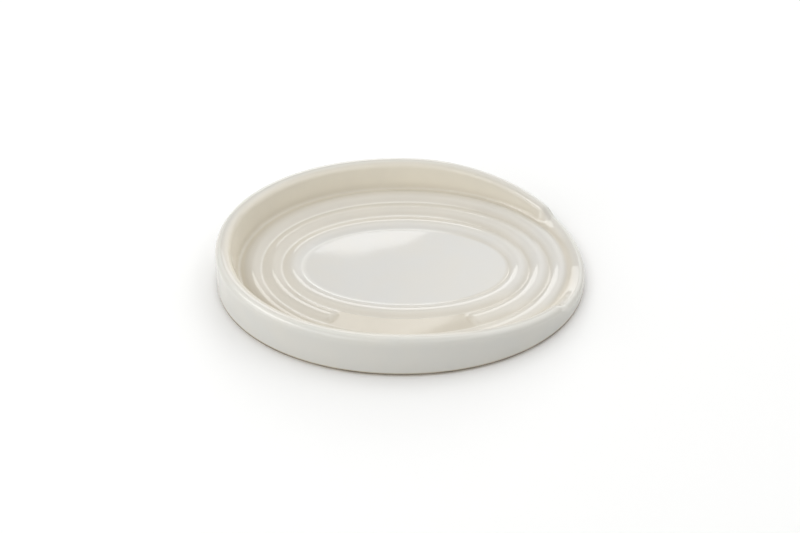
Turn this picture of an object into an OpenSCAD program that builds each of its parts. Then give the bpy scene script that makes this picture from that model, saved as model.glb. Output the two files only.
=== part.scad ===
// Oval spoon rest: a glazed stoneware dish. Three raised rings lie round a flat middle, the rounded
// rim falls towards one end, and a low lip there carries the handle of the spoon.
// Millimetres, +Z up, +X towards the lip, and the bare foot stands on Z = 0.

/* [Outline] */
// Length of the dish, over its outer wall
dish_length = 155; // [140:1:190]
// Width of the dish, over its outer wall
dish_width = 125; // [112:0.5:150]
// Shape of the oval: 2 is an ellipse and more is squarer
oval_power = 2.05; // [2:0.01:2.3]
// Lean of the outer wall, in towards the rim, in degrees
wall_lean = 2.7; // [0:0.1:6]

/* [Rim and lip] */
// Height of the rim over the table, away from the lip
rim_height = 17.9; // [15:0.1:24]
// Radius of the rim's round towards the outside
rim_outer_round = 2.3; // [1.8:0.1:2.6]
// Radius of the rim's round towards the well
rim_inner_round = 3.4; // [2.4:0.1:3.6]
// Height of the lip's top over the ring bed at its foot
lip_rise = 0.5; // [0.4:0.1:4]
// Step down where the rim ends on each side of the lip
lip_step = 2.3; // [0:0.1:3]
// Half of the angle that the lip takes up, in degrees
lip_half_angle = 31; // [24:1:40]
// Angle in which the step is rounded off, in degrees
lip_blend = 6; // [4:0.5:10]

/* [Well] */
// Height of the flat middle over the table
well_height = 4.2; // [3.4:0.1:6]
// Distance from the outline in to the foot of the inner wall
wall_foot = 8; // [7.2:0.1:8.4]
// Length of the curve at the foot of the inner wall
foot_curve = 2.2; // [1:0.1:3]
// Distance from the outline in to the first ring
ring_start = 8.5; // [8.5:0.1:10]
// Width of each ring
ring_pitch = 8.5; // [7:0.1:10]
// Height of each ring over the grooves beside it
ring_height = 1.1; // [0.5:0.1:1.4]
// Softness of the grooves between the rings
groove_soft = 0.25; // [0.05:0.01:0.4]
// Rise of the ring bed from the flat middle to the wall
bed_rise = 1.5; // [0:0.1:2]
// Distance that the rings lie off centre, towards the lip
ring_shift = 2; // [0:0.1:2.4]
// Narrowing of the rings across the dish against that along it
side_ratio = 1.11; // [1:0.01:1.15]

/* [Plate in the middle ring] */
// Angle at which the bare plate starts, in degrees
plate_from = -120; // [-140:1:-100]
// Angle at which the bare plate ends, in degrees
plate_to = -62; // [-80:1:-58]
// Angle in which the ring ends beside the plate are rounded off, in degrees
plate_blend = 4; // [3:0.5:8]

/* [Foot] */
// Height of the bare foot under the edge of the glaze
bare_height = 1.2; // [0.8:0.1:2]
// Distance from the outline in to the face the dish stands on
foot_inset = 1.8; // [1:0.1:3]
// Width of the face the dish stands on
foot_width = 5; // [3:0.1:8]
// Depth of the hollow underside inside the foot
foot_recess = 1; // [0.8:0.1:1.2]

/* [Glaze] */
// Thickness of the glaze coats
glaze_thickness = 0.5; // [0.3:0.05:0.6]
// Bare strip between the underside glaze and the foot
glaze_margin = 1.2; // [0.6:0.1:4]

/* [Hidden] */
half_length = dish_length / 2;
half_width = dish_width / 2;
lip_top = well_height + bed_rise + lip_rise;
rim_fall = rim_height - lip_step - lip_top;
ring_count = 3;
plate_ring = 1;
ring_crest = ring_start + ring_pitch / 2;
flat_inset = ring_start + ring_count * ring_pitch;
flank_turn = 0.15;
flank_inset = ring_start + flank_turn * ring_pitch;
recess_inset = foot_inset + foot_width;
recess_slant = 1;
// Steps of the surface along each curve and round the oval
rim_steps = 3;
curve_steps = 3;
coarse_step = 5;
fine_step = 1.25;
slope_step = 0.01;
// Places across one ring at which the surface has a row, as shares of its width
ring_shares = [0.12, 0.3, 0.5, 0.7, 0.88, 1];
ring_turns = [for (ring = [0 : ring_count - 1])
    for (share = ring_shares)
        if (ring + share > flank_turn) ring + share];
stoneware_colour = [0.80, 0.72, 0.60];
glaze_colour = [0.90, 0.89, 0.85];

// Soft step from 0 to 1
function blend(x) = let (c = min(1, max(0, x))) c * c * (3 - 2 * c);
function unit(angle) = [cos(angle), sin(angle)];
function bowed(value) = sign(value) * pow(abs(value), 2 / oval_power);
function reversed(list) = [for (i = [len(list) - 1 : -1 : 0]) list[i]];
function after_first(list) = [for (i = [1 : len(list) - 1]) list[i]];

// Angles of the columns from one angle up to another, without the last
function span(from, to, step) =
    let (count = ceil((to - from) / step))
    [for (i = [0 : count - 1]) from + (to - from) * i / count];
// Columns round the whole oval, closer together where the rim steps and where the middle ring stops
half_plate = plate_blend / 2;
half_lip = lip_blend / 2;
columns = concat(
    span(-180, plate_from - half_plate, coarse_step),
    span(plate_from - half_plate, plate_from + half_plate, fine_step),
    span(plate_from + half_plate, -90, coarse_step),
    span(-90, plate_to - half_plate, coarse_step),
    span(plate_to - half_plate, plate_to + half_plate, fine_step),
    span(plate_to + half_plate, -lip_half_angle - half_lip, coarse_step),
    span(-lip_half_angle - half_lip, half_lip - lip_half_angle, fine_step),
    span(half_lip - lip_half_angle, lip_half_angle - half_lip, coarse_step),
    span(lip_half_angle - half_lip, lip_half_angle + half_lip, fine_step),
    span(lip_half_angle + half_lip, 90, coarse_step),
    span(90, 180, coarse_step));

// A spot is [distance in from the outline, height]. Spots inside the rim move off centre, more and more
// up to the first ring.
function off_centre(inset) =
    ring_shift * blend((inset - rim_outer_round) / (ring_crest - rim_outer_round));
function place(angle, spot) = [
    off_centre(spot[0]) + (half_length - spot[0]) * bowed(cos(angle)),
    (half_width - side_ratio * spot[0]) * bowed(sin(angle)),
    spot[1]];
function place_under(angle, spot) = [
    (half_length - spot[0]) * bowed(cos(angle)),
    (half_width - spot[0]) * bowed(sin(angle)),
    spot[1]];

// Height of the rim and the middles of its two rounds, which meet on its top, by angle
function lip_share(angle) = blend((lip_half_angle + half_lip - abs(angle)) / lip_blend);
function rim_top(angle) =
    rim_height - rim_fall * pow(max(0, bowed(cos(angle))), 2) - lip_step * lip_share(angle);
function outer_centre(angle) =
    let (z = rim_top(angle) - rim_outer_round)
    [(z - bare_height) * tan(wall_lean) + rim_outer_round / cos(wall_lean), z];
function inner_centre(angle) = outer_centre(angle) + [0, rim_outer_round - rim_inner_round];

// Height of the ring bed with its rings, counted in rings from the wall
function ring_wave(turn) =
    (sqrt(pow(sin(180 * turn), 2) + pow(groove_soft, 2)) - groove_soft)
    / (sqrt(1 + pow(groove_soft, 2)) - groove_soft);
function plate_share(angle) =
    blend((angle - plate_from + half_plate) / plate_blend)
    * blend((plate_to + half_plate - angle) / plate_blend);
function ring_gain(angle, turn) = floor(turn) == plate_ring ? 1 - plate_share(angle) : 1;
function well_z(angle, inset) =
    let (turn = (inset - ring_start) / ring_pitch)
    well_height + bed_rise * (1 - turn / ring_count)
        + ring_height * ring_gain(angle, turn) * ring_wave(turn);
function well_slope(angle, inset) =
    (well_z(angle, inset + slope_step) - well_z(angle, inset - slope_step)) / (2 * slope_step);
// Spot of the well, let down square to the surface by a depth
function well_spot(angle, inset, depth) =
    let (s = well_slope(angle, inset), l = sqrt(1 + s * s))
    [inset + depth * s / l, well_z(angle, inset) - depth / l];

// Foot of the inner wall: the corner that its curve rounds, and the direction of the wall up from it
function wall_corner(angle) =
    [wall_foot, well_z(angle, flank_inset) + well_slope(angle, flank_inset) * (wall_foot - flank_inset)];
function wall_turn(angle) =
    let (c = inner_centre(angle) - wall_corner(angle))
    180 - atan2(c[1], -c[0]) - asin(rim_inner_round / norm(c));
// Spot on the curve from the wall to the first ring, let down square to it by a depth
function curve_spot(angle, share, depth) =
    let (
        corner = wall_corner(angle),
        from = corner + foot_curve * unit(wall_turn(angle)),
        to = [flank_inset, well_z(angle, flank_inset)],
        rest = 1 - share,
        run = rest * (corner - from) + share * (to - corner))
    rest * rest * from + 2 * rest * share * corner + share * share * to
        - depth * [-run[1], run[0]] / norm(run);

// Spots from the rim's top down into the well, and from the rim's top down the outer wall
function inside_spots(angle, depth) = concat(
    [for (i = [0 : rim_steps])
        inner_centre(angle)
            + (rim_inner_round - depth) * unit(90 + (wall_turn(angle) - 180) * i / rim_steps)],
    [for (i = [0 : curve_steps]) curve_spot(angle, i / curve_steps, depth)],
    [for (turn = ring_turns) well_spot(angle, ring_start + turn * ring_pitch, depth)]);
function outside_spots(angle, depth) = concat(
    [for (i = [0 : rim_steps])
        outer_centre(angle) + (rim_outer_round - depth) * unit(90 + (90 - wall_lean) * i / rim_steps)],
    [[depth / cos(wall_lean), bare_height]]);
function foot_spots() = [
    [foot_inset, 0],
    [recess_inset, 0],
    [recess_inset + recess_slant, foot_recess]];

// Columns of points of the swept solids
function placed(angle, spots) = [for (spot = spots) place(angle, spot)];
function body_column(angle) = concat(
    placed(angle, reversed(inside_spots(angle, glaze_thickness))),
    placed(angle, after_first(outside_spots(angle, glaze_thickness))),
    [for (spot = foot_spots()) place_under(angle, spot)]);
function well_column(angle) =
    placed(angle, concat(reversed(inside_spots(angle, 0)), inside_spots(angle, glaze_thickness)));
function wall_column(angle) =
    placed(angle, concat(outside_spots(angle, 0), reversed(outside_spots(angle, glaze_thickness))));

// Solid through columns of points round the oval. Rows before the fold and rows after it run opposite
// ways, so that two solids that share a surface split it into the same triangles. The column is
// closed on itself when ring_like, and ends in a flat face above and below when not.
module swept(sides, fold, ring_like) {
    rows = len(sides[0]);
    count = len(sides);
    function at(i, j) = (i % count) * rows + j % rows;
    strips = [for (i = [0 : count - 1]) for (j = [0 : ring_like ? rows - 1 : rows - 2])
        for (tri = j < fold
            ? [[at(i, j), at(i + 1, j), at(i + 1, j + 1)], [at(i, j), at(i + 1, j + 1), at(i, j + 1)]]
            : [[at(i, j), at(i + 1, j), at(i, j + 1)], [at(i + 1, j), at(i + 1, j + 1), at(i, j + 1)]])
        tri];
    ends = ring_like ? [] : [
        [for (i = [count - 1 : -1 : 0]) at(i, 0)],
        [for (i = [0 : count - 1]) at(i, rows - 1)]];
    polyhedron(points = [for (side = sides) for (p = side) p], faces = concat(strips, ends), convexity = 8);
}

// Fired clay body, bare on its foot
module stoneware_body() {
    sides = [for (angle = columns) body_column(angle)];
    color(stoneware_colour)
        swept(sides, len(sides[0]), false);
}

// Glaze over the well, up to the top of the rim
module well_glaze() {
    sides = [for (angle = columns) well_column(angle)];
    color(glaze_colour)
        swept(sides, len(sides[0]) / 2, false);
}

// Glaze over the outer wall, from the top of the rim down to the bare foot
module wall_glaze() {
    sides = [for (angle = columns) wall_column(angle)];
    color(glaze_colour)
        swept(sides, len(sides[0]) / 2, true);
}

// Glaze on the hollow underside, inside the foot
module underside_glaze() {
    edge = recess_inset + recess_slant + glaze_margin;
    color(glaze_colour)
        translate([0, 0, foot_recess - glaze_thickness])
            linear_extrude(height = glaze_thickness)
                polygon([for (angle = columns) let (p = place_under(angle, [edge, 0])) [p[0], p[1]]]);
}

stoneware_body();
well_glaze();
wall_glaze();
underside_glaze();
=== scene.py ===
import math

import bpy
import numpy as np
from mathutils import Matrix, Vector


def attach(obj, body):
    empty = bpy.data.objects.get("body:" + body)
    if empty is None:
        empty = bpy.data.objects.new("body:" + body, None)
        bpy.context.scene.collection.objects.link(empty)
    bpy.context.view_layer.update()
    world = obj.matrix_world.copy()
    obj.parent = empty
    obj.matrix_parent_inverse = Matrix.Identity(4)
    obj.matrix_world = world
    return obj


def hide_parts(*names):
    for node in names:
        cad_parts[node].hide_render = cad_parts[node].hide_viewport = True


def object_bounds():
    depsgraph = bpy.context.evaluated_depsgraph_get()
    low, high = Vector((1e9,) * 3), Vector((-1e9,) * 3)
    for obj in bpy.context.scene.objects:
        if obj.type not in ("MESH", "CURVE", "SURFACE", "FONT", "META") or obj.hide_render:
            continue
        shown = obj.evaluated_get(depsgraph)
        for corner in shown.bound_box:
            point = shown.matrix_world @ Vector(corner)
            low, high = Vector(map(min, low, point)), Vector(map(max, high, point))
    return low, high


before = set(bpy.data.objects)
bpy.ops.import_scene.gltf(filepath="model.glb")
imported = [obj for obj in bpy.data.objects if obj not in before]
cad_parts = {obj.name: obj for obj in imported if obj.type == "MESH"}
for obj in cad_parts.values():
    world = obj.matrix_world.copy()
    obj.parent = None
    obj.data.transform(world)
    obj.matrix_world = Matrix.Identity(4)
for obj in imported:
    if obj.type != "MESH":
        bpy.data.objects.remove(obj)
CAD_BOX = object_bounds()

# Sizes of the dish in millimetres. The overall ones come from the frame, and the rest repeat the part's
# source, apart from the bend of the plate's ends, which is too fine for it.
MM = 0.001
DISH_LENGTH, DISH_WIDTH, RIM_HEIGHT = (CAD_BOX[1] - CAD_BOX[0]) / MM
HALF_LENGTH = DISH_LENGTH / 2
HALF_WIDTH = DISH_WIDTH / 2
OVAL_POWER = 2.05
WALL_LEAN = math.radians(2.7)

RIM_OUTER_ROUND = 2.3
RIM_INNER_ROUND = 3.4
LIP_RISE = 0.5
LIP_STEP = 2.3
LIP_HALF_ANGLE = math.radians(31)
LIP_BLEND = math.radians(6)

WELL_HEIGHT = 4.2
WALL_FOOT = 8.0
FOOT_CURVE = 2.2
RING_START = 8.5
RING_PITCH = 8.5
RING_HEIGHT = 1.1
RING_COUNT = 3
GROOVE_SOFT = 0.25
BED_RISE = 1.5
RING_SHIFT = 2.0
SIDE_RATIO = 1.11
FLANK_TURN = 0.15

PLATE_RING = 1
PLATE_FROM = math.radians(-120)
PLATE_TO = math.radians(-62)
PLATE_BLEND = math.radians(4)
PLATE_BEND = math.radians(2.5)
PLATE_BEND_POWER = 4

BARE_HEIGHT = 1.2
FOOT_INSET = 1.8
FOOT_WIDTH = 5.0
FOOT_RECESS = 1.0
RECESS_SLANT = 1.0
GLAZE = 0.5
GLAZE_MARGIN = 1.2

RIM_FALL = RIM_HEIGHT - LIP_STEP - (WELL_HEIGHT + BED_RISE + LIP_RISE)
RING_CREST = RING_START + RING_PITCH / 2
FLAT_INSET = RING_START + RING_COUNT * RING_PITCH
FLANK_INSET = RING_START + FLANK_TURN * RING_PITCH
RECESS_INSET = FOOT_INSET + FOOT_WIDTH

# Fineness of the meshes: angles between columns, counts of rows, and the bend that still looks smooth
COARSE = math.radians(0.75)
FINE = math.radians(0.25)
RIM_ROWS = 20
INNER_WALL_ROWS = 6
OUTER_WALL_ROWS = 24
CURVE_ROWS = 14
RING_ROWS = 26
FLAT_ROWS = 24
HIDDEN_ROWS = 6
HIDDEN_WALL_ROWS = 2
BODY_WALL_ROWS = 4
FOOT_ROWS = 4
RECESS_ROWS = 3
COAT_EDGE_ROWS = 6
COAT_ROWS = 8
SMOOTH_BELOW = math.radians(50)

# Small unevenness of hand-finished ware: the plan draws in and the height drops by up to these shares, in
# waves round the dish that grow from its middle and are full from a distance in millimetres. A wave is its
# part of the whole, its count round the dish and the angle at which it starts.
UNEVEN_FROM = 60.0
PLAN_DRAW = 0.0007
PLAN_WAVES = ((0.6, 2, 0.7), (0.4, 5, 2.1))
HEIGHT_DROP = 0.005
HEIGHT_WAVES = ((0.5, 3, 1.3), (0.5, 7, 0.4))

# Tan tone in the well: the glaze's own pooled tan at the foot of the wall and in the grooves by the lip,
# with painted shade over it there, farther out at the front, and painted shade on the plate. How far it
# reaches in millimetres from the foot of the wall, how much farther the painted shade reaches at the front,
# how far from the grooves by the lip, and its strength in those grooves and on the plate
FOOT_TAN_REACH = 2.2
FRONT_SHADE_REACH = 5.5
GROOVE_REACH = 1.7
GROOVE_POOL_AND_SHADE = 0.45
PLATE_SHADE = 0.55
# Painted highlights, thin pale lines along the grooves: how far they reach in millimetres, and the strength
# of the one at the foot of the wall
HIGHLIGHT_REACH = 0.45
FOOT_HIGHLIGHT = 0.3
# From where to where along the dish, as shares of half its length, the tan with painted shade in the
# grooves comes in, and the painted highlights in the grooves and the painted shade at the front go out
LIP_SIDE_FROM = 0.15
LIP_SIDE_TO = 0.7
# Half width of the plate, which is painted with shade, and how far from its middle the painted highlights
# in the grooves are left out, as shares of a ring
PLATE_HALF = 0.5
PLATE_CLEAR = 0.6
PLATE_MIDDLE = PLATE_RING + PLATE_HALF
# Lowest place on the curve at the foot of the wall, as a share of the curve
FOOT_LOW = 0.6
# Shares of the way out to the wall at which the rings are fully cream and at which the wall's tone starts,
# and the share of the cream that is left at the lip
SHADE_REACH = 0.25
WALL_REACH = 0.9
LIP_SHADE = 0.3
# Where the white of the rim starts to turn cream inside, over which width, and how far down the outside the
# painted light on the rim's outer rounding goes
WHITE_INSET = 3.2
WHITE_BLEND = 3.6
RIM_LIGHT_DROP = 4.0


def blend(x):
    """Soft step from 0 to 1."""
    c = np.clip(x, 0.0, 1.0)
    return c * c * (3.0 - 2.0 * c)


def fade(distance, reach):
    """1 at no distance, and nearly 0 at twice the reach."""
    return np.exp(-(distance / reach) ** 2)


def spaced(start, stop, step):
    """Angles from start up to stop, without stop."""
    return np.linspace(start, stop, math.ceil((stop - start) / step), endpoint=False)


def round_columns():
    """Angles of the mesh columns, closer where the rim steps down and where the middle ring stops."""
    fine_stretches = (
        (PLATE_FROM, PLATE_BLEND),
        (PLATE_TO, PLATE_BLEND),
        (-LIP_HALF_ANGLE, LIP_BLEND),
        (LIP_HALF_ANGLE, LIP_BLEND),
    )
    stops = [-math.pi]
    for middle, width in fine_stretches:
        stops += [middle - width, middle + width]
    stops.append(math.pi)
    steps = [COARSE, FINE] * len(stops)
    return np.concatenate([spaced(a, b, s) for a, b, s in zip(stops, stops[1:], steps)])


def bowed(value):
    """Cosine or sine of a column, bowed out to the oval of the dish."""
    return np.sign(value) * np.abs(value) ** (2 / OVAL_POWER)


COLUMNS = round_columns()
BOWED_X = bowed(np.cos(COLUMNS))
BOWED_Y = bowed(np.sin(COLUMNS))


# A spot is a complex number: the distance in from the outline, plus the height times i. The functions and
# values below give one spot, height or share for every column.
def off_centre(inset):
    """How far the well lies towards the lip: not at the rim, and fully from the first crest inwards."""
    return RING_SHIFT * blend((inset - RIM_OUTER_ROUND) / (RING_CREST - RIM_OUTER_ROUND))


def place(spot):
    """Points of a row of spots above the foot."""
    x = off_centre(spot.real) + (HALF_LENGTH - spot.real) * BOWED_X
    y = (HALF_WIDTH - SIDE_RATIO * spot.real) * BOWED_Y
    return np.stack([x, y, spot.imag], axis=1)


def place_under(spot):
    """Points of a row of spots of the foot and the underside."""
    x = (HALF_LENGTH - spot.real) * BOWED_X
    y = (HALF_WIDTH - spot.real) * BOWED_Y
    return np.stack([x, y, spot.imag], axis=1)


def turned(angle):
    """Step of 1 mm in a direction: 0 is inwards and a quarter turn is up."""
    return np.exp(1j * angle)


LIP_SHARE = blend((LIP_HALF_ANGLE + LIP_BLEND / 2 - np.abs(COLUMNS)) / LIP_BLEND)
RIM_TOP = RIM_HEIGHT - RIM_FALL * np.maximum(0, BOWED_X) ** 2 - LIP_STEP * LIP_SHARE
OUTER_CENTRE_Z = RIM_TOP - RIM_OUTER_ROUND
WALL_DRAW = (OUTER_CENTRE_Z - BARE_HEIGHT) * math.tan(WALL_LEAN)
OUTER_CENTRE = WALL_DRAW + RIM_OUTER_ROUND / math.cos(WALL_LEAN) + 1j * OUTER_CENTRE_Z
INNER_CENTRE = OUTER_CENTRE + 1j * (RIM_OUTER_ROUND - RIM_INNER_ROUND)


def plate_share(turn):
    """How far the middle ring gives way to the bare plate, with ends that are round in plan."""
    bend = PLATE_BEND * abs(2 * (turn - PLATE_RING) - 1) ** PLATE_BEND_POWER
    starts = blend((COLUMNS - PLATE_FROM + bend) / PLATE_BLEND + 0.5)
    stops = blend((PLATE_TO - COLUMNS + bend) / PLATE_BLEND + 0.5)
    return starts * stops


def ring_wave(turn):
    """Height of a ring across its width, as a share, with a soft groove on each side."""
    peak = math.sqrt(1 + GROOVE_SOFT ** 2) - GROOVE_SOFT
    return (np.sqrt(np.sin(math.pi * turn) ** 2 + GROOVE_SOFT ** 2) - GROOVE_SOFT) / peak


def well_z(inset):
    """Height of the rings and of the bed that they lie on."""
    turn = (inset - RING_START) / RING_PITCH
    gain = 1 - plate_share(turn) * (math.floor(turn) == PLATE_RING)
    return WELL_HEIGHT + BED_RISE * (1 - turn / RING_COUNT) + RING_HEIGHT * gain * ring_wave(turn)


def well_slope(inset, step=0.01):
    """Rise of the rings towards the middle, for each millimetre."""
    return (well_z(inset + step) - well_z(inset - step)) / (2 * step)


def well_spot(turn, depth):
    """Spot on the rings, let down square to them by a depth."""
    inset = RING_START + turn * RING_PITCH
    slope = well_slope(inset)
    return inset + 1j * well_z(inset) + depth * (slope - 1j) / np.sqrt(1 + slope ** 2)


FLANK = FLANK_INSET + 1j * well_z(FLANK_INSET)
WALL_CORNER = FLANK + (WALL_FOOT - FLANK_INSET) * (1 + 1j * well_slope(FLANK_INSET))
RIM_FROM_CORNER = INNER_CENTRE - WALL_CORNER
WALL_TURN = (math.pi - np.arctan2(RIM_FROM_CORNER.imag, -RIM_FROM_CORNER.real)
             - np.arcsin(RIM_INNER_ROUND / np.abs(RIM_FROM_CORNER)))
CURVE_FROM = WALL_CORNER + FOOT_CURVE * turned(WALL_TURN)


def curve_spot(share, depth):
    """Spot on the curve from the inner wall to the first ring, let down square to it by a depth."""
    rest = 1 - share
    run = rest * (WALL_CORNER - CURVE_FROM) + share * (FLANK - WALL_CORNER)
    spot = rest ** 2 * CURVE_FROM + 2 * rest * share * WALL_CORNER + share ** 2 * FLANK
    return spot - depth * 1j * run / np.abs(run)


def inner_rim_spot(share, depth):
    """Spot on the inner half of the rim, from its top down to the inner wall."""
    angle = math.pi / 2 + (WALL_TURN - math.pi) * share
    return INNER_CENTRE + (RIM_INNER_ROUND - depth) * turned(angle)


def outer_rim_spot(share, depth):
    """Spot on the outer half of the rim, from its top down to the outer wall."""
    angle = math.pi / 2 + (math.pi / 2 - WALL_LEAN) * share
    return OUTER_CENTRE + (RIM_OUTER_ROUND - depth) * turned(angle)


def shares(count):
    return [i / count for i in range(count + 1)]


def ring_turns(count):
    """Places across the rings, closer in the grooves."""
    eased = [(1 - math.cos(math.pi * s)) / 2 for s in shares(count)]
    turns = [ring + s for ring in range(RING_COUNT) for s in eased[1:]]
    return [t for t in turns if t > FLANK_TURN]


def straight(start, end, count):
    """Spots between two rows of spots, without the rows themselves."""
    return [start + (end - start) * s for s in shares(count)[1:-1]]


def inside_spots(depth, rim_rows, wall_rows, curve_rows, ring_rows):
    """Rows from the top of the rim down the inner wall and over the rings to the edge of the flat."""
    rim = [inner_rim_spot(s, depth) for s in shares(rim_rows)]
    curve = [curve_spot(s, depth) for s in shares(curve_rows)]
    rings = [well_spot(t, depth) for t in ring_turns(ring_rows)]
    return rim + straight(rim[-1], curve[0], wall_rows) + curve + rings


def hidden_inside_spots():
    """Rows where the glaze of the well and the stoneware meet."""
    return inside_spots(GLAZE, HIDDEN_ROWS, HIDDEN_WALL_ROWS, HIDDEN_ROWS, HIDDEN_ROWS)


def outside_spots(depth, rim_rows, wall_rows):
    """Rows from the top of the rim down the outer wall to the bare foot."""
    rim = [outer_rim_spot(s, depth) for s in shares(rim_rows)]
    end = np.full_like(rim[0], depth / math.cos(WALL_LEAN) + 1j * BARE_HEIGHT)
    return rim + straight(rim[-1], end, wall_rows) + [end]


def inward(row, count):
    """Rows that shrink from a row of points to its middle, without the row and the middle."""
    middle = row.mean(axis=0)
    return [middle + (row - middle) * (1 - s) for s in shares(count)[1:-1]]


def waves(angle, parts):
    return sum(part * np.cos(count * angle + start) for part, count, start in parts)


def uneven(points):
    """Points drawn in and let down a little, here and there."""
    angle = np.arctan2(points[:, 1], points[:, 0])
    far = blend(np.hypot(points[:, 0], points[:, 1]) / UNEVEN_FROM)
    plan = 1 - PLAN_DRAW * (1 + far * waves(angle, PLAN_WAVES)) / 2
    height = 1 - HEIGHT_DROP * (1 + far * waves(angle, HEIGHT_WAVES)) / 2
    return points * np.stack([plan, plan, height], axis=1)


def grid_faces(row_count, loop_rows):
    """Quads between neighbouring rows and columns."""
    columns = len(COLUMNS)
    faces = []
    for j in range(row_count if loop_rows else row_count - 1):
        here = j * columns
        there = (j + 1) % row_count * columns
        for i in range(columns):
            k = (i + 1) % columns
            faces.append((here + i, there + i, there + k, here + k))
    return faces


def closed_mesh(name, rows, marks, loop_rows=False):
    """Closed mesh through rows of points. Rows that don't loop end in a middle point on each side.
    marks gives, by name, one value for each row and column."""
    columns = len(COLUMNS)
    points = uneven(np.concatenate(rows))
    faces = grid_faces(len(rows), loop_rows)
    values = {key: np.concatenate(value) for key, value in marks.items()}
    if not loop_rows:
        first = len(points)
        last_row = first - columns
        ends = [rows[0].mean(axis=0), rows[-1].mean(axis=0)]
        points = np.concatenate([points, uneven(np.array(ends))])
        for i in range(columns):
            k = (i + 1) % columns
            faces.append((first, i, k))
            faces.append((first + 1, last_row + k, last_row + i))
        values = {key: np.append(value, [value[0], value[-1]]) for key, value in values.items()}
    mesh = bpy.data.meshes.new(name)
    mesh.from_pydata(points * MM, [], faces)
    for key, value in values.items():
        mesh.attributes.new(key, "FLOAT", "POINT").data.foreach_set("value", value.astype(np.float32))
    mesh.shade_smooth()
    mesh.set_sharp_from_angle(angle=SMOOTH_BELOW)
    mesh.update()
    piece = bpy.data.objects.new(name, mesh)
    bpy.context.scene.collection.objects.link(piece)
    return piece


def even(value):
    """The same mark or spot in every column."""
    return np.full(len(COLUMNS), value)


# How tall the rim is in each column, and how far the column belongs to the lip's side, to the front and to
# the plate
TALL = (RIM_TOP - RIM_TOP.min()) / (RIM_TOP.max() - RIM_TOP.min())
LIP_SIDE = blend((BOWED_X - LIP_SIDE_FROM) / (LIP_SIDE_TO - LIP_SIDE_FROM))
FRONT_SIDE = np.maximum(0, -BOWED_Y) * (1 - LIP_SIDE)
ON_PLATE = plate_share(PLATE_MIDDLE)


def well_marks(spot):
    """Shares from 0 to 1 by which the glaze of the well differs in colour at a spot. shade and wall make it
    cream towards the wall, less so by the lip. The tan mark gives the glaze's pooled tan at the foot of the
    wall and in the grooves by the lip with painted shade over it, painted shade farther out at the front
    and painted shade on the plate. The line mark gives painted highlights: pale lines in the other grooves
    and, faintly, at the foot of the wall. rim makes it white."""
    inset = spot.real
    turn = (inset - RING_START) / RING_PITCH
    on_rings = inset > FLANK_INSET
    from_foot = np.abs(spot - curve_spot(FOOT_LOW, 0))
    from_groove = np.abs(turn - np.round(turn)) * RING_PITCH
    from_plate = np.abs(turn - PLATE_MIDDLE)
    reach = np.clip((FLAT_INSET - inset) / (FLAT_INSET - WALL_FOOT), 0, 1)
    by_wall = np.clip((reach - WALL_REACH) / (1 - WALL_REACH), 0, 1)
    cream = LIP_SHADE + (1 - LIP_SHADE) * np.maximum(TALL, by_wall)
    # Pooled tan at the foot of the wall with painted shade over it, farther out and darker at the front;
    # painted shade on the plate; pooled tan with painted shade in the grooves by the lip
    foot_pool_and_shade = fade(from_foot, FOOT_TAN_REACH + FRONT_SHADE_REACH * FRONT_SIDE) * (1 + FRONT_SIDE) / 2
    plate_shade = PLATE_SHADE * ON_PLATE * (from_plate < PLATE_HALF)
    groove_pool_and_shade = GROOVE_POOL_AND_SHADE * fade(from_groove, GROOVE_REACH) * on_rings * LIP_SIDE
    # Painted highlights: pale lines along the grooves and, faintly, at the foot of the wall
    highlight = np.where(on_rings, fade(from_groove, HIGHLIGHT_REACH), FOOT_HIGHLIGHT * fade(from_foot, HIGHLIGHT_REACH))
    return {
        "shade": np.clip(reach / SHADE_REACH, 0, 1) * cream,
        "wall": by_wall * TALL,
        "pool_and_shade": np.maximum(np.maximum(foot_pool_and_shade, plate_shade), groove_pool_and_shade),
        "groove_highlight": highlight * (1 - LIP_SIDE) * (1 - ON_PLATE * (from_plate < PLATE_CLEAR)),
        "rim": 1 - blend((inset - WHITE_INSET) / WHITE_BLEND),
    }


def make_well_glaze():
    """Glaze of the well: its top from the flat out to the rim, then its hidden side back to the flat."""
    top = inside_spots(0, RIM_ROWS, INNER_WALL_ROWS, CURVE_ROWS, RING_ROWS)
    top_rows = [place(s) for s in top]
    flat_rows = inward(top_rows[-1], FLAT_ROWS)
    under_rows = [place(s) for s in hidden_inside_spots()]
    top_marks = [well_marks(s) for s in top]
    flat_marks = [even(0.0)] * len(flat_rows)
    under_marks = [even(0.0)] * len(under_rows)
    marks = {}
    for name in top_marks[0]:
        marks[name] = ([mark[name] for mark in top_marks] + flat_marks)[::-1] + under_marks
    return closed_mesh("inside_glaze", (top_rows + flat_rows)[::-1] + under_rows, marks)


def make_wall_glaze():
    """Glaze of the outer wall: its outer side from the rim down, then its hidden side back up."""
    outer = outside_spots(0, RIM_ROWS, OUTER_WALL_ROWS)
    under = outside_spots(GLAZE, HIDDEN_ROWS, HIDDEN_WALL_ROWS)
    spots = outer + under[::-1]
    rise = [np.clip((s.imag - BARE_HEIGHT) / (RIM_HEIGHT - BARE_HEIGHT), 0, 1) for s in spots]
    # Painted light: the outer rounding of the rim lighter towards its top, where more light falls
    rim = [1 - blend((RIM_TOP - s.imag) / RIM_LIGHT_DROP) for s in spots]
    rows = [place(s) for s in spots]
    return closed_mesh("outside_glaze", rows, {"rise": rise, "rim": rim}, loop_rows=True)


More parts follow.
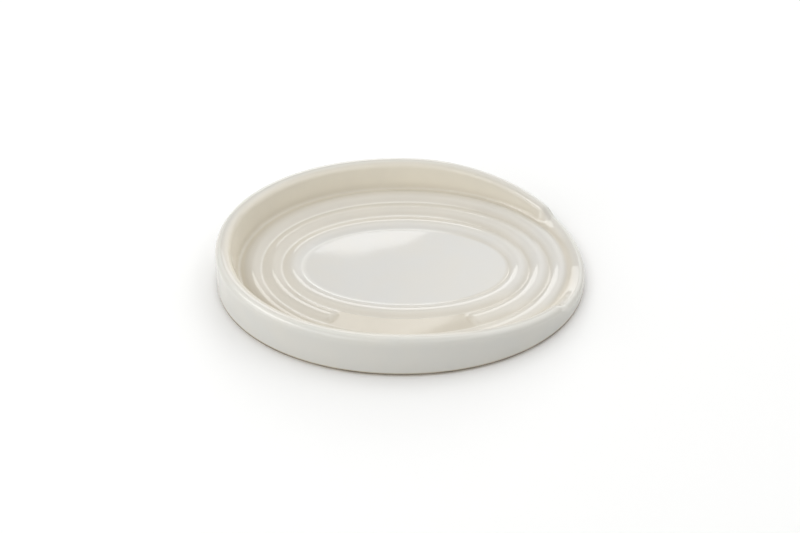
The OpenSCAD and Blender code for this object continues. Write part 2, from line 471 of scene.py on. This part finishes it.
def make_body():
    """Stoneware: the well out to the rim, the outer wall down to the foot, and the underside."""
    outside = outside_spots(GLAZE, HIDDEN_ROWS, BODY_WALL_ROWS)
    bare = outside[-1]
    foot = even(FOOT_INSET + 0j)
    foot_in = even(RECESS_INSET + 0j)
    recess = even(RECESS_INSET + RECESS_SLANT + 1j * FOOT_RECESS)
    under = straight(bare, foot, FOOT_ROWS) + [foot]
    under += straight(foot, foot_in, FOOT_ROWS) + [foot_in]
    under += straight(foot_in, recess, RECESS_ROWS) + [recess]
    rows = [place(s) for s in hidden_inside_spots()[::-1] + outside[1:]]
    rows += [place_under(s) for s in under]
    return closed_mesh("stoneware", rows, {})


def make_underside_glaze():
    """Glaze on the underside: a flat coat with a round edge."""
    edge = RECESS_INSET + RECESS_SLANT + GLAZE_MARGIN + GLAZE + 1j * FOOT_RECESS
    quarter = [math.pi / 2 * s for s in shares(COAT_EDGE_ROWS)]
    edge_rows = [place_under(even(edge - GLAZE * turned(angle))) for angle in quarter]
    return closed_mesh("underside_glaze_coat", edge_rows + inward(edge_rows[-1], COAT_ROWS), {})


# Materials
SCREEN_WHITE = 255
SCREEN_GAMMA = 2.2
FULL = (0.0, 1.0)
PLAIN_WHITE = (1.0, 1.0, 1.0, 1.0)
# Places of the sockets for colours among those of a mix node
MIX_FIRST = 6
MIX_SECOND = 7
MIX_RESULT = 2


def colour(red, green, blue):
    """A linear colour from 8-bit screen values."""
    return tuple((c / SCREEN_WHITE) ** SCREEN_GAMMA for c in (red, green, blue)) + (1.0,)


class Shader:
    """Nodes of one material round its own shader."""

    def __init__(self, name):
        self.material = bpy.data.materials.new(name)
        self.material.use_nodes = True
        self.tree = self.material.node_tree
        self.main = self.tree.nodes["Principled BSDF"]
        self.place = self.add("ShaderNodeTexCoord").outputs["Object"]

    def add(self, kind, **settings):
        node = self.tree.nodes.new(kind)
        for key, value in settings.items():
            setattr(node, key, value)
        return node

    def link(self, source, target):
        self.tree.links.new(source, target)

    def lead(self, source, name):
        """Lead an output to an input of the main shader."""
        self.link(source, self.main.inputs[name])

    def mark(self, name):
        return self.add("ShaderNodeAttribute", attribute_name=name).outputs["Fac"]

    def noise(self, size, detail=2):
        """Noise with lumps of a size in millimetres."""
        node = self.add("ShaderNodeTexNoise")
        node.inputs["Scale"].default_value = 1 / (size * MM)
        node.inputs["Detail"].default_value = detail
        self.link(self.place, node.inputs["Vector"])
        return node.outputs["Fac"]

    def spread(self, source, span=FULL, onto=FULL):
        """Output that goes evenly from one end of onto to the other while the source goes over the span."""
        node = self.add("ShaderNodeMapRange")
        for key, value in zip(("From Min", "From Max", "To Min", "To Max"), span + onto):
            node.inputs[key].default_value = value
        self.link(source, node.inputs["Value"])
        return node.outputs["Result"]

    def mix(self, share, first, second):
        """Colour between two colours or colour outputs."""
        node = self.add("ShaderNodeMix", data_type="RGBA")
        self.link(share, node.inputs["Factor"])
        for socket, value in ((node.inputs[MIX_FIRST], first), (node.inputs[MIX_SECOND], second)):
            if isinstance(value, tuple):
                socket.default_value = value
            else:
                self.link(value, socket)
        return node.outputs[MIX_RESULT]

    def bump(self, layers):
        """Bumps from (height output, depth in millimetres) pairs."""
        normal = None
        for height, depth in layers:
            node = self.add("ShaderNodeBump")
            node.inputs["Strength"].default_value = 1.0
            node.inputs["Distance"].default_value = depth * MM
            self.link(height, node.inputs["Height"])
            if normal is not None:
                self.link(normal, node.inputs["Normal"])
            normal = node.outputs["Normal"]
        self.lead(normal, "Normal")


# Glaze: colours, the most that the tan of pooled glaze and painted shade and the painted highlight lines
# cover, and the shares of the wall's height over which its thin edge and the painted contact shadow at its
# foot fade
FLAT_WHITE = colour(214, 213, 209)
CREAM = colour(239, 232, 215)
WARM_CLOUD = colour(220, 213, 199)
RING_CREAM = colour(207, 202, 191)
# Tan of pooled glaze and of painted shade
POOL_AND_SHADE_TAN = colour(184, 174, 153)
RIM_WHITE = colour(206, 203, 195)
# Painted light on the outer rounding of the rim
OUTER_RIM_LIGHT = colour(215, 214, 207)
OUTER_WHITE = colour(206, 205, 199)
THIN_EDGE = colour(190, 180, 158)
# Painted contact shadow: a dark line at the foot of the outer glaze, where the dish meets the floor
CONTACT_SHADE = colour(95, 88, 78)
# Colour of the painted highlights along the grooves
HIGHLIGHT_WHITE = colour(250, 248, 242)
POOL_AND_SHADE_SHARE = 0.85
HIGHLIGHT_SHARE = 0.4
THIN_EDGE_FADE = (0.03, 0.07)
CONTACT_SHADE_FADE = (0.018, 0.04)

# Glaze: its clouds, its gloss, its waves and ripples, the clouds of the underside, and how it bends light.
# Sizes and depths are in millimetres.
CLOUD_SIZE = 14
CLOUD_SPAN = (0.35, 0.7)
CLOUD_SHARE = 0.22
GLOSS_SIZE = 5
GLOSS_ROUGHNESS = (0.03, 0.06)
WAVE_SIZE = 9
WAVE_DEPTH = 0.012
RIPPLE_SIZE = 1.6
RIPPLE_DEPTH = 0.0012
UNDER_CLOUD_SIZE = 20
GLAZE_IOR = 1.5

# Bare clay: colours, grain, specks, roughness and pits. Sizes and the depth are in millimetres.
CLAY_DARK = colour(196, 178, 148)
CLAY_PALE = colour(214, 199, 172)
CLAY_SPECK = colour(150, 126, 96)
GRAIN_SIZE = 0.5
GRAIN_SPAN = (0.4, 0.65)
SPECK_SIZE = 0.9
SPECK_SPAN = (0.66, 0.72)
CLAY_ROUGH_SIZE = 2
CLAY_ROUGHNESS = (0.72, 0.9)
PIT_SIZE = 0.4
PIT_DEPTH = 0.03

# Span in which most of a noise lies
NOISE_SPAN = (0.3, 0.7)

# Floor: colours, size of its clouds in millimetres, and its glow, which grows from and to these distances
# in metres, where the soft boxes don't reach
FLOOR_DARK = colour(247, 247, 246)
FLOOR_PALE = colour(249, 249, 248)
FLOOR_CLOUD_SIZE = 300
FLOOR_ROUGHNESS = 0.9
FLOOR_SPECULAR = 0.1
FLOOR_GLOW_SPAN = (0.5, 1.6)
FLOOR_GLOW = 0.7


def finish_glaze(shader, base):
    """Glossy coat over a base colour, with faint clouds and a skin that isn't quite level."""
    clouds = shader.spread(shader.noise(CLOUD_SIZE, detail=3), CLOUD_SPAN, (0.0, CLOUD_SHARE))
    shader.lead(shader.mix(clouds, base, WARM_CLOUD), "Base Color")
    rough = shader.spread(shader.noise(GLOSS_SIZE, detail=3), NOISE_SPAN, GLOSS_ROUGHNESS)
    shader.lead(rough, "Roughness")
    shader.main.inputs["IOR"].default_value = GLAZE_IOR
    waviness = shader.noise(WAVE_SIZE, detail=1)
    ripples = shader.noise(RIPPLE_SIZE)
    shader.bump([(waviness, WAVE_DEPTH), (ripples, RIPPLE_DEPTH)])
    return shader.material


def inside_glaze_material():
    shader = Shader("inside_glaze_gloss")
    rings = shader.mix(shader.mark("shade"), FLAT_WHITE, RING_CREAM)
    base = shader.mix(shader.mark("wall"), rings, CREAM)
    # Pooled tan and painted shade
    pooled_and_shaded = shader.mix(shader.spread(shader.mark("pool_and_shade"), onto=(0.0, POOL_AND_SHADE_SHARE)), base, POOL_AND_SHADE_TAN)
    # Painted highlights along the grooves
    highlighted = shader.mix(shader.spread(shader.mark("groove_highlight"), onto=(0.0, HIGHLIGHT_SHARE)), pooled_and_shaded, HIGHLIGHT_WHITE)
    return finish_glaze(shader, shader.mix(shader.mark("rim"), highlighted, RIM_WHITE))


def outside_glaze_material():
    shader = Shader("outside_glaze_gloss")
    thin = shader.spread(shader.mark("rise"), THIN_EDGE_FADE, FULL[::-1])
    # Painted contact shadow along the lowest edge of the outer glaze
    contact_shade = shader.spread(shader.mark("rise"), CONTACT_SHADE_FADE, FULL[::-1])
    # Painted light on the rim's outer rounding, over the wall's own white
    wall = shader.mix(shader.mark("rim"), OUTER_WHITE, OUTER_RIM_LIGHT)
    return finish_glaze(shader, shader.mix(contact_shade, shader.mix(thin, wall, THIN_EDGE), CONTACT_SHADE))


def underside_glaze_material():
    shader = Shader("underside_glaze_gloss")
    return finish_glaze(shader, shader.mix(shader.noise(UNDER_CLOUD_SIZE), OUTER_WHITE, FLAT_WHITE))


def stoneware_material():
    shader = Shader("bare_stoneware")
    grain = shader.spread(shader.noise(GRAIN_SIZE, detail=4), GRAIN_SPAN)
    specks = shader.spread(shader.noise(SPECK_SIZE, detail=1), SPECK_SPAN)
    clay = shader.mix(grain, CLAY_DARK, CLAY_PALE)
    shader.lead(shader.mix(specks, clay, CLAY_SPECK), "Base Color")
    rough = shader.spread(shader.noise(CLAY_ROUGH_SIZE), NOISE_SPAN, CLAY_ROUGHNESS)
    shader.lead(rough, "Roughness")
    shader.bump([(shader.noise(PIT_SIZE, detail=3), PIT_DEPTH)])
    return shader.material


def floor_material():
    shader = Shader("pale_floor")
    shader.lead(shader.mix(shader.noise(FLOOR_CLOUD_SIZE), FLOOR_DARK, FLOOR_PALE), "Base Color")
    shader.main.inputs["Roughness"].default_value = FLOOR_ROUGHNESS
    shader.main.inputs["Specular IOR Level"].default_value = FLOOR_SPECULAR
    away = shader.add("ShaderNodeVectorMath", operation="LENGTH")
    shader.link(shader.place, away.inputs[0])
    glow = shader.spread(away.outputs["Value"], FLOOR_GLOW_SPAN, (0.0, FLOOR_GLOW))
    shader.lead(glow, "Emission Strength")
    shader.main.inputs["Emission Color"].default_value = PLAIN_WHITE
    shader.material.cycles.emission_sampling = "NONE"
    return shader.material


def dress(piece, material, node):
    piece.data.materials.append(material)
    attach(piece, "root")
    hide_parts(node)


dress(make_body(), stoneware_material(), "stoneware_body")
dress(make_well_glaze(), inside_glaze_material(), "well_glaze")
dress(make_wall_glaze(), outside_glaze_material(), "wall_glaze")
dress(make_underside_glaze(), underside_glaze_material(), "underside_glaze")

# Stage, in metres
FLOOR_SIZE = 6.0
bpy.ops.mesh.primitive_plane_add(size=FLOOR_SIZE)
floor = bpy.context.object
floor.name = "floor"
floor.data.materials.append(floor_material())

# Camera, from the photograph's view: its angle above the table and its turn, its distance from the middle
# of the dish and how far it stands to the side and up in millimetres, the scale at that middle, the width
# of the photograph in pixels, the width of the sensor in millimetres, and the nearest thing seen in metres
VIEW_UP = math.radians(39.5)
VIEW_TURN = math.radians(0.67)
VIEW_DISTANCE = 530.0
VIEW_SIDE = -0.195
VIEW_LIFT = 2.9
PIXELS_PER_MM = 2.358
IMAGE_WIDTH = 800
SENSOR_WIDTH = 36.0
CLIP_START = 0.01


def make_camera():
    x = VIEW_SIDE
    y = VIEW_LIFT * math.sin(VIEW_UP) - VIEW_DISTANCE * math.cos(VIEW_UP)
    z = VIEW_LIFT * math.cos(VIEW_UP) + VIEW_DISTANCE * math.sin(VIEW_UP)
    cos_turn = math.cos(VIEW_TURN)
    sin_turn = math.sin(VIEW_TURN)
    camera = bpy.data.objects.new("camera", bpy.data.cameras.new("camera"))
    bpy.context.scene.collection.objects.link(camera)
    camera.location = Vector((x * cos_turn - y * sin_turn, x * sin_turn + y * cos_turn, z)) * MM
    camera.rotation_euler = (math.pi / 2 - VIEW_UP, 0, VIEW_TURN)
    camera.data.sensor_width = SENSOR_WIDTH
    camera.data.lens = PIXELS_PER_MM * VIEW_DISTANCE / IMAGE_WIDTH * SENSOR_WIDTH
    camera.data.clip_start = CLIP_START
    bpy.context.scene.camera = camera


make_camera()

# Lights: distances from the dish in metres, energy for each square metre at a radiance of 1, the factor
# that brings a softened box to 1 in its middle, and the strength of the even surround
BOX_DISTANCE = 1.2
BACK_DISTANCE = 1.3
AREA_ENERGY = 4
SOFT_PEAK = 16.0
SURROUND = 0.32


def soften(light):
    """Let a soft box fade towards its edges, as a diffuser with one lamp behind it does."""
    light.use_nodes = True
    tree = light.node_tree

    def calc(operation, first, second):
        node = tree.nodes.new("ShaderNodeMath")
        node.operation = operation
        for socket, value in zip(node.inputs, (first, second)):
            if isinstance(value, float):
                socket.default_value = value
            else:
                tree.links.new(value, socket)
        return node.outputs[0]

    across = tree.nodes.new("ShaderNodeSeparateXYZ")
    tree.links.new(tree.nodes.new("ShaderNodeNewGeometry").outputs["Parametric"], across.inputs[0])
    fades = [calc("MULTIPLY", side, calc("SUBTRACT", 1.0, side)) for side in across.outputs[:2]]
    strength = calc("MULTIPLY", calc("MULTIPLY", fades[0], fades[1]), SOFT_PEAK)
    tree.links.new(strength, tree.nodes["Emission"].inputs["Strength"])


def make_light(name, at, size, radiance, distance=BOX_DISTANCE, soft=True, oval=False, gloss_only=False):
    """Light that faces the dish. at is its azimuth and elevation in degrees, where azimuth 0 is behind the
    dish and 90 to its right. size is its width and height in metres. A light that is gloss_only shows in
    the gloss and lights nothing else."""
    light = bpy.data.lights.new(name, "AREA")
    light.shape = "ELLIPSE" if oval else "RECTANGLE"
    light.size, light.size_y = size
    area = size[0] * size[1] * (math.pi / 4 if oval else 1)
    light.energy = radiance * area * AREA_ENERGY
    lamp = bpy.data.objects.new(name, light)
    bpy.context.scene.collection.objects.link(lamp)
    azimuth, elevation = (math.radians(angle) for angle in at)
    out = math.cos(elevation)
    direction = Vector((math.sin(azimuth) * out, math.cos(azimuth) * out, math.sin(elevation)))
    lamp.location = direction * distance
    lamp.rotation_euler = (-direction).to_track_quat("-Z", "Y").to_euler()
    lamp.visible_diffuse = not gloss_only
    lamp.visible_camera = False
    if soft:
        soften(light)


def make_surround():
    world = bpy.data.worlds.new("studio")
    world.use_nodes = True
    background = world.node_tree.nodes["Background"]
    background.inputs["Color"].default_value = PLAIN_WHITE
    background.inputs["Strength"].default_value = SURROUND
    bpy.context.scene.world = world


make_light("right_box", at=(86, 45), size=(1.07, 0.87), radiance=0.76, soft=False)
make_light("right_back_box", at=(40, 54), size=(1.6, 0.8), radiance=0.37)
make_light("back_left_box", at=(-60, 46), size=(1.2, 0.8), radiance=0.64)
make_light("front_left_box", at=(-130, 50), size=(1.7, 0.5), radiance=2.2)
make_light("front_right_box", at=(140, 50), size=(1.4, 0.5), radiance=1.1)
make_light("front_left_low_box", at=(-130, 30), size=(1.7, 0.5), radiance=1.2)
make_light("back_strip", at=(-8, 5), size=(2.4, 0.15), radiance=1.2, distance=BACK_DISTANCE, soft=False)
make_light("back_disc", at=(-4.8, 26.7), size=(0.553, 0.553), radiance=2.0, distance=BACK_DISTANCE,
           soft=False, oval=True)
make_light("right_window", at=(28, 30), size=(1.1, 1.6), radiance=1.05, distance=BACK_DISTANCE)
make_light("left_low_box", at=(-95, 18), size=(1.2, 0.5), radiance=1.2)
make_light("left_card", at=(-117, 15), size=(0.6, 0.2), radiance=2.4, soft=False)
make_light("left_box", at=(-92, 50), size=(1.0, 1.0), radiance=0.2)
make_light("left_window", at=(-92, 47), size=(0.8, 0.45), radiance=3.2, soft=False, gloss_only=True)
make_light("back_top_box", at=(0, 68), size=(1.6, 0.6), radiance=1.0)
make_surround()
bpy.context.scene.view_settings.view_transform = "Standard"
